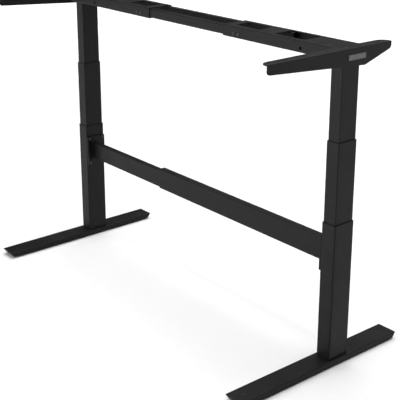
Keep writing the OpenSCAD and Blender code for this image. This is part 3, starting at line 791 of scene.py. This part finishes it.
@dataclass
class EndFrame:
    """The folded tray over one column, with two windows, side holes and lips that hold the rails.

    Places along it start at its open end. A window is a start, a length and a width, and the side hole a
    place and a diameter.
    """

    side: Side
    sheet_mm: float = 2.5
    fold_mm: float = 3.0
    lip_mm: float = 12.0
    reach_mm: float = 488.0
    windows_mm: tuple[tuple[float, float, float], ...] = ((38.0, 109.0, 62.0), (226.0, 130.0, 74.0))
    window_corner_mm: float = 8.0
    side_hole_mm: tuple[float, float] = (353.0, 11.0)
    hole_drop_mm: float = 5.0
    lock_holes_mm: tuple[float, float] = (53.0, 74.0)
    lock_hole_mm: float = 3.1
    screw_place_mm: tuple[float, float] = (33.0, 35.5)
    screw_hole_mm: float = 5.6
    # thickness of the dark disc in each side hole, which is painted shade
    shade_disc_mm: float = 0.8

    def build(self, shop: Workshop) -> None:
        """Builds the end frame from its flat pattern.

        Args:
            shop: makes the pieces.
        """
        node = f"{self.side.word}_end_frame"
        low, high = right_box(self.side, node)
        length, depth, height = ((high[i] - low[i]) / MM for i in range(3))
        sheet = FoldedSheet(self.sheet_mm * MM)
        arc = self.fold_mm * math.pi / 2
        flat = depth / 2 - self.fold_mm
        wall = height - 2 * self.fold_mm
        lip_start = flat + arc + wall
        half = lip_start + arc + self.lip_mm - self.fold_mm
        loop_rectangle(sheet.bm, (0.0, -half), (length, half), 0.0)
        for start, size, width in self.windows_mm:
            loop_rectangle(sheet.bm, (start, -width / 2), (start + size, width / 2), self.window_corner_mm)
        across = flat + arc + wall / 2 + self.hole_drop_mm
        for sign in (-1, 1):
            loop_circle(sheet.bm, self.side_hole_mm[0], sign * across, self.side_hole_mm[1] / 2)
            for place in self.lock_holes_mm:
                loop_circle(sheet.bm, place, sign * across, self.lock_hole_mm, steps=16)
            along, aside = self.screw_place_mm
            for place in (self.reach_mm - along, self.reach_mm + along):
                loop_circle(sheet.bm, place, sign * aside, self.screw_hole_mm)
        sheet.fill()
        radius = self.fold_mm * MM
        sheet.fold([Bend(lip_start * MM, radius, -90, 1), Bend(flat * MM, radius, -90, 1),
                    Bend(-lip_start * MM, radius, 90, -1), Bend(-flat * MM, radius, 90, -1)])
        sheet.thicken()
        seat(sheet.bm, (low, high))
        shop.piece(sheet.bm, f"{self.side.word}_folded_end_frame", f"top_{self.side.word}", Slot.COAT, [node],
                   side=self.side, edge_mm=0.25)
        self.plugs(shop, low, high)

    def plugs(self, shop: Workshop, low: Vector, high: Vector) -> None:
        """Closes the two side holes with near-black discs at the sheet's inner side, clear of the rails:
        painted shade that stands for the dark inside seen through each hole.

        Args:
            shop: makes the pieces.
            low: lowest corner of the end frame on the right side.
            high: its highest corner.
        """
        bm = bmesh.new()
        radius, thick = self.side_hole_mm[1] / 2 * MM, self.shade_disc_mm * MM
        deep = self.sheet_mm * MM - thick / 2
        middle = low.x + self.side_hole_mm[0] * MM
        level = (low.z + high.z) / 2 - self.hole_drop_mm * MM
        upright = Matrix.Rotation(math.pi / 2, 4, "X")
        for y in (low.y + deep, high.y - deep):
            bmesh.ops.create_cone(bm, cap_ends=True, segments=24, radius1=radius, radius2=radius, depth=thick,
                                  matrix=Matrix.Translation((middle, y, level)) @ upright)
        # near-black discs in the side holes: painted shade for the dark inside of each hole
        shop.piece(bm, f"{self.side.word}_hole_plugs", f"top_{self.side.word}", Slot.PLASTIC, side=self.side,
                   edge_mm=0.1, material=shop.rubber)


@dataclass
class SideBracket:
    """The folded angle at one side: upright web outside, flange on top with the desktop holes.

    Places along it start at the column's middle. The web's depths and corners go from the front to the back,
    and so do the flange's widths.
    """

    side: Side
    sheet_mm: float = 3.0
    fold_mm: float = 3.0
    front_mm: float = -363.0
    nose_mm: float = -366.0
    back_mm: float = 140.0
    frame_half_mm: float = 51.5
    web_mm: tuple[float, float, float] = (29.0, 56.2, 20.5)
    deep_at_mm: float = 27.0
    flange_mm: tuple[float, float, float] = (32.0, 37.0, 36.0)
    corner_mm: float = 30.0
    web_corners_mm: tuple[float, float, float] = (9.7, 6.0, 10.0)
    desk_hole_mm: float = 3.5
    screw_hole_mm: float = 5.6
    desk_holes_mm: tuple[tuple[float, float], ...] = ((-335.0, 22.0), (-115.0, 22.0), (105.0, 22.0))
    screw_holes_mm: tuple[tuple[float, float], ...] = ((-35.5, 18.0), (35.5, 18.0))

    def build(self, shop: Workshop) -> None:
        """Builds the bracket from its flat pattern.

        Args:
            shop: makes the pieces.
        """
        node = f"{self.side.word}_side_bracket"
        arc = self.fold_mm * math.pi / 2
        fold = self.fold_mm - arc
        front, deep, back = (fold + self.fold_mm - depth for depth in self.web_mm)
        wide_front, wide, wide_back = self.flange_mm
        tip, belly, heel = self.web_corners_mm
        sheet = FoldedSheet(self.sheet_mm * MM)
        loop_outline(sheet.bm, [
            (self.front_mm, front, tip), (self.deep_at_mm, deep, belly), (self.back_mm, back, heel),
            (self.back_mm, wide_back, self.corner_mm), (self.frame_half_mm, wide, 0.0),
            (-self.frame_half_mm, wide, 0.0), (self.nose_mm, wide_front, self.corner_mm),
            (self.nose_mm, self.fold_mm, 0.0), (self.front_mm, fold, 0.0)])
        for along, inward in self.desk_holes_mm:
            loop_circle(sheet.bm, along, inward, self.desk_hole_mm)
        for along, inward in self.screw_holes_mm:
            loop_circle(sheet.bm, along, inward, self.screw_hole_mm)
        sheet.fill()
        sheet.fold([Bend(self.fold_mm * MM, self.fold_mm * MM, 90, -1)])
        sheet.thicken()
        bmesh.ops.rotate(sheet.bm, verts=sheet.bm.verts, cent=(0, 0, 0),
                         matrix=Matrix.Rotation(math.pi / 2, 3, "Z"))
        seat(sheet.bm, right_box(self.side, node))
        shop.piece(sheet.bm, f"{self.side.word}_folded_bracket", f"top_{self.side.word}", Slot.COAT, [node],
                   side=self.side, edge_mm=0.3)


@dataclass
class BarePlate:
    """The oblong plate on the right bracket's web, left bare."""

    corner_mm: float = 2.0

    def build(self, shop: Workshop) -> None:
        """Builds the plate.

        Args:
            shop: makes the pieces.
        """
        low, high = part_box("badge_plate")
        bm = block(low, high)
        rounded(bm, edges_along(bm, 0), self.corner_mm * MM, steps=5)
        shop.piece(bm, "bare_plate", "top_right", Slot.PLATE, ["badge_plate"], edge_mm=0.25)


@dataclass
class Crossbar:
    """The telescopic bar between the legs, with a slotted end plate on each column.

    A slot is a start, an end and a length, and a bolt's place is measured from the middle and from the edge.
    """

    corner_mm: float = 3.0
    wall_mm: float = 2.0
    slot_mm: tuple[float, float, float] = (-32.0, -23.0, 78.0)
    slot_corner_mm: float = 1.5
    bolt_hole_mm: float = 3.1
    plate_corner_mm: float = 3.0
    bolt_mm: tuple[float, float] = (30.5, 7.875)

    def build(self, shop: Workshop) -> None:
        """Builds both sections and both end plates.

        Args:
            shop: makes the pieces.
        """
        for node, name, body in (("crossbar_outer", "crossbar_outer_section", "base_right"),
                                 ("crossbar_inner", "crossbar_inner_section", "base_left")):
            tube = drawn_tube(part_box(node), 0, self.corner_mm, self.wall_mm, steps=5)
            shop.piece(tube, name, body, Slot.COAT, [node], edge_mm=0.3)
        for side in Side:
            self.end_plate(side, shop)

    def end_plate(self, side: Side, shop: Workshop) -> None:
        """Builds the plate that bolts to one column.

        Args:
            side: which column.
            shop: makes the pieces.
        """
        node = f"{side.word}_crossbar_plate"
        low, high = right_box(side, node)
        thick, wide, tall = ((high[i] - low[i]) / MM for i in range(3))
        sheet = FoldedSheet(thick * MM)
        loop_rectangle(sheet.bm, (-wide / 2, -tall / 2), (wide / 2, tall / 2), self.plate_corner_mm)
        start, end, long = self.slot_mm
        loop_rectangle(sheet.bm, (start, -long / 2), (end, long / 2), self.slot_corner_mm)
        across, edge = self.bolt_mm
        for y in (-across, across):
            for z in (-tall / 2 + edge, tall / 2 - edge):
                loop_circle(sheet.bm, y, z, self.bolt_hole_mm, steps=16)
        sheet.fill()
        sheet.thicken()
        bmesh.ops.rotate(sheet.bm, verts=sheet.bm.verts, cent=(0, 0, 0),
                         matrix=Matrix(((0, 0, 1), (1, 0, 0), (0, 1, 0))))
        seat(sheet.bm, (low, high))
        shop.piece(sheet.bm, f"{side.word}_slotted_plate", f"base_{side.word}", Slot.COAT, [node], side=side,
                   edge_mm=0.4)


@dataclass
class Rails:
    """The two rails that slide inside both end frames."""

    corner_mm: float = 3.0
    wall_mm: float = 2.0

    def build(self, shop: Workshop) -> None:
        """Builds both rails.

        Args:
            shop: makes the pieces.
        """
        for end in ("front", "rear"):
            tube = drawn_tube(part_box(f"{end}_rail"), 0, self.corner_mm, self.wall_mm, steps=5)
            shop.piece(tube, f"{end}_sliding_rail", "rails", Slot.COAT, [f"{end}_rail"], edge_mm=0.3)


@dataclass(frozen=True)
class ScrewForm:
    """Sizes of one kind of socket-head screw, in millimetres."""

    low_radius: float
    top_radius: float
    head: float
    shank_radius: float
    socket: float
    socket_depth: float


BUTTON = ScrewForm(low_radius=5.25, top_radius=4.0, head=3.0, shank_radius=3.0, socket=4.0, socket_depth=1.6)
COUNTERSUNK = ScrewForm(low_radius=3.0, top_radius=5.25, head=2.5, shank_radius=3.0, socket=4.0,
                        socket_depth=1.8)
CAP = ScrewForm(low_radius=6.5, top_radius=6.1, head=5.0, shank_radius=4.0, socket=6.0, socket_depth=3.0)


@dataclass
class Screws:
    """The socket-head screws of one CAD node, their heads looking one way or two."""

    node: str
    body: str
    form: ScrewForm
    looks: tuple[Look, ...]
    side: Side = Side.RIGHT
    slot: Slot = Slot.BLACK_SCREW
    paired_reach_mm: float = 5.75

    def build(self, shop: Workshop) -> None:
        """Builds the screws at the ends of the node's box.

        Args:
            shop: makes the pieces.
        """
        low, high = right_box(self.side, self.node)
        bm = bmesh.new()
        for look in self.looks:
            axis, sign = look.value
            reach = high[axis] - low[axis] if len(self.looks) == 1 else self.paired_reach_mm * MM
            for place in self.places(low, high, axis):
                place[axis] = high[axis] if sign > 0 else low[axis]
                self.add(bm, place, axis, sign, reach)
        shop.piece(bm, f"{self.node}_socket", self.body, self.slot, [self.node], side=self.side, edge_mm=0.15)

    def places(self, low: Vector, high: Vector, axis: int) -> list[Vector]:
        """Finds where the screws stand across their axis, one at each end of the box.

        Args:
            low: the box's lowest corner.
            high: its highest corner.
            axis: the screws' axis, 0 to 2.

        Returns:
            A place for each screw, not yet set along the axis.
        """
        radius = max(self.form.low_radius, self.form.top_radius) * MM
        across = [i for i in range(3) if i != axis]
        found = []
        for i in (low[across[0]] + radius, high[across[0]] - radius):
            for j in (low[across[1]] + radius, high[across[1]] - radius):
                place = Vector((0.0, 0.0, 0.0))
                place[across[0]], place[across[1]] = i, j
                if all((place - other).length > radius for other in found):
                    found.append(place)
        return found

    def add(self, bm: BMesh, top: Vector, axis: int, sign: int, reach: float) -> None:
        """Adds one screw.

        Args:
            bm: the mesh to add to.
            top: middle of the head's outer face.
            axis: the screw's axis, 0 to 2.
            sign: which way along the axis the head looks.
            reach: length from the head's outer face to the tip.
        """
        form = self.form
        before = set(bm.verts)
        head = form.head * MM
        cone = bmesh.ops.create_cone(bm, cap_ends=False, segments=36, radius1=form.low_radius * MM,
                                     radius2=form.top_radius * MM, depth=head,
                                     matrix=Matrix.Translation((0, 0, -head / 2)))["verts"]
        around = dict.fromkeys(edge for vert in cone for edge in vert.link_edges)
        upper = [edge for edge in around if all(vert.co.z > -head / 2 for vert in edge.verts)]
        lower = [edge for edge in around if all(vert.co.z < -head / 2 for vert in edge.verts)]
        hexagon = loop_circle(bm, 0.0, 0.0, form.socket / math.sqrt(3), steps=6)
        bmesh.ops.triangle_fill(bm, edges=[*upper, *hexagon], use_beauty=True, normal=(0, 0, 1))
        sunk = bmesh.ops.extrude_edge_only(bm, edges=hexagon)["geom"]
        moved(bm, [item for item in sunk if isinstance(item, BMVert)], (0, 0, -form.socket_depth * MM))
        bmesh.ops.contextual_create(bm, geom=[item for item in sunk if isinstance(item, BMEdge)])
        seat_face = bmesh.ops.contextual_create(bm, geom=lower)["faces"][0]
        if form.low_radius > form.shank_radius:
            bmesh.ops.inset_individual(bm, faces=[seat_face], use_even_offset=True,
                                       thickness=(form.low_radius - form.shank_radius) * MM)
        tip = bmesh.ops.extrude_discrete_faces(bm, faces=[seat_face])["faces"][0]
        moved(bm, tip.verts, (0, 0, head - reach))
        new = set(bm.verts) - before
        ahead = Vector([sign if i == axis else 0 for i in range(3)])
        turn = ahead.to_track_quat("Z", "Y").to_matrix().to_4x4()
        bmesh.ops.transform(bm, verts=list(new), matrix=Matrix.Translation(top) @ turn)
        bmesh.ops.recalc_face_normals(bm, faces=[face for face in bm.faces if face.verts[0] in new])


@dataclass(frozen=True)
class SoftBox:
    """One rectangular soft light: where it stands, what it looks at, its width and height, and its power."""

    name: str
    place: tuple[float, float, float]
    target: tuple[float, float, float]
    size: tuple[float, float]
    watts: float

    def light(self) -> None:
        """Adds the light to the scene."""
        data = bpy.data.lights.new(self.name, "AREA")
        data.shape = "RECTANGLE"
        data.size, data.size_y = self.size
        data.energy = self.watts
        light = placed(self.name, data)
        light.location = self.place
        light.rotation_euler = (Vector(self.target) - light.location).to_track_quat("-Z", "Y").to_euler()


SOFT_BOXES = (
    SoftBox("overhead_bank", (-1.0, 2.5, 6.5), (-1.0, 2.5, 0.0), (10.0, 8.0), 570.0),
    SoftBox("front_soft_box", (-1.2, -4.5, 1.3), (0.2, 0.0, 0.3), (3.4, 2.2), 130.0),
    SoftBox("rear_soft_box", (1.5, 5.0, 2.4), (0.0, 0.0, 0.5), (3.0, 2.0), 30.0),
)


@dataclass(frozen=True)
class Studio:
    """Pale floor, soft lights and the camera at the photograph's viewing angle.

    Angles are in degrees and places in metres. The floor glows between two distances from the middle, and
    the room is dim as a light and white to the camera.
    """

    place: tuple[float, float, float] = (2.53451, -2.00209, 1.61123)
    yaw: float = 52.29
    pitch: float = -17.78
    roll: float = -0.55
    lens: float = 85.89
    shift: tuple[float, float] = (0.075, -0.1375)
    sensor_mm: float = 36.0
    floor_half: float = 60.0
    floor_grey: tuple[float, float] = (0.90, 0.92)
    glow_from_to: tuple[float, float] = (3.5, 9.0)
    glow: float = 0.75
    silk_strength: float = 1.1
    silk_spread: float = 85.0
    room: tuple[float, float] = (0.03, 1.0)

    def camera(self) -> None:
        """Creates the camera and makes it the scene's."""
        data = bpy.data.cameras.new("camera")
        data.lens = self.lens
        data.sensor_width = self.sensor_mm
        data.sensor_fit = "HORIZONTAL"
        data.shift_x, data.shift_y = self.shift
        data.clip_end = 200.0
        yaw, pitch, roll = (math.radians(a) for a in (self.yaw, self.pitch, self.roll))
        ahead = Vector((-math.sin(yaw) * math.cos(pitch), math.cos(yaw) * math.cos(pitch), math.sin(pitch)))
        level = Vector((math.cos(yaw), math.sin(yaw), 0.0))
        upright = level.cross(ahead)
        right = level * math.cos(roll) + upright * math.sin(roll)
        up = upright * math.cos(roll) - level * math.sin(roll)
        camera = placed("camera", data)
        turn = Matrix((right, up, -ahead)).transposed().to_4x4()
        camera.matrix_world = Matrix.Translation(self.place) @ turn
        bpy.context.scene.camera = camera

    def floor(self) -> None:
        """Lays a wide pale floor under the feet."""
        bm = bmesh.new()
        bmesh.ops.create_grid(bm, x_segments=1, y_segments=1, size=self.floor_half)
        mesh = bpy.data.meshes.new("floor")
        bm.to_mesh(mesh)
        bm.free()
        material = bpy.data.materials.new("pale_floor")
        material.use_nodes = True
        graph = Graph(material.node_tree)
        grain = graph.noise(graph.place(), 40.0, 4.0, 0.6)
        dark, pale = ((grey, grey, grey, 1.0) for grey in self.floor_grey)
        away = graph.node("ShaderNodeVectorMath", {0: graph.place()}, operation="LENGTH")
        far = graph.remap(away.outputs["Value"], *self.glow_from_to, 0.0, 1.0)
        surface = graph.node("ShaderNodeBsdfPrincipled", {
            "Base Color": graph.mix(grain, dark, pale), "Roughness": 0.85, "Specular IOR Level": 0.2,
            "Emission Color": graph.mix(far, (0.0, 0.0, 0.0, 1.0), (1.0, 1.0, 1.0, 1.0)),
            "Emission Strength": self.glow})
        graph.node("ShaderNodeOutputMaterial", {"Surface": surface.outputs[0]})
        mesh.materials.append(material)
        placed("floor", mesh)

    def lights(self) -> None:
        """Sets the soft boxes and the even light of the room."""
        data = bpy.data.lights.new("overhead_silk", "SUN")
        data.energy = self.silk_strength
        data.angle = math.radians(self.silk_spread)
        placed("overhead_silk", data)
        for box in SOFT_BOXES:
            box.light()
        world = bpy.data.worlds.new("room")
        bpy.context.scene.world = world
        world.use_nodes = True
        graph = Graph(world.node_tree)
        seen = graph.node("ShaderNodeLightPath").outputs["Is Camera Ray"]
        strength = graph.remap(seen, 0.0, 1.0, *self.room)
        back = graph.node("ShaderNodeBackground", {"Color": (1.0, 1.0, 1.0, 1.0), "Strength": strength})
        graph.node("ShaderNodeOutputWorld", {"Surface": back.outputs[0]})
        bpy.context.scene.view_settings.view_transform = "Standard"


def dress_nodes(nodes: dict[str, Object], record: dict,
                materials: dict[Slot, Material], thread: Material) -> None:
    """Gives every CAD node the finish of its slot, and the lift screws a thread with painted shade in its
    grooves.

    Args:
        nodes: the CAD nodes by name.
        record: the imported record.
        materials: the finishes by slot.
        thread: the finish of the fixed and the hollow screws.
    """
    slots = {row["node"]: Slot(row["material_slot"]) for row in record["subparts"]}
    for name, node in nodes.items():
        finish = thread if name.endswith(("fixed_screw", "hollow_screw")) else materials[slots[name]]
        for place in node.material_slots:
            place.material = finish
        log.info("%s: CAD mesh in %s", name, finish.name)


def main() -> None:
    """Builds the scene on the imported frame."""
    logging.basicConfig(level=logging.INFO, format="%(message)s")
    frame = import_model()
    studio = Studio()
    studio.camera()
    studio.floor()
    studio.lights()
    groups = shader_groups()
    materials = {finish.slot: finish.build(groups) for finish in FINISHES}
    dress_nodes(frame["nodes"], frame["record"], materials, THREAD.build(groups))
    # the second finish is the painted shade in the side holes
    shop = Workshop(materials, HOLE_SHADE.build(groups))
    for side in Side:
        Foot(side).build(shop)
        Column(side).build(shop)
        EndFrame(side).build(shop)
        SideBracket(side).build(shop)
        for end in ("front", "rear"):
            LevelingPad(side, end).build(shop)
        word = side.word
        top, base = f"top_{word}", f"base_{word}"
        Screws(f"{word}_head_screws", top, COUNTERSUNK, (Look.UP,), side).build(shop)
        Screws(f"{word}_bracket_screws", top, COUNTERSUNK, (Look.UP,), side).build(shop)
        Screws(f"{word}_rail_lock_screws", top, BUTTON, (Look.FORWARD, Look.BACKWARD), side).build(shop)
        Screws(f"{word}_foot_bolts", base, CAP, (Look.DOWN,), side, Slot.ZINC).build(shop)
        Screws(f"{word}_crossbar_bolts", base, BUTTON, (Look.INWARD,), side).build(shop)
    Screws("crossbar_lock_screws", "base_right", BUTTON, (Look.BACKWARD,)).build(shop)
    BarePlate().build(shop)
    Crossbar().build(shop)
    Rails().build(shop)


if __name__ == "__main__":
    main()
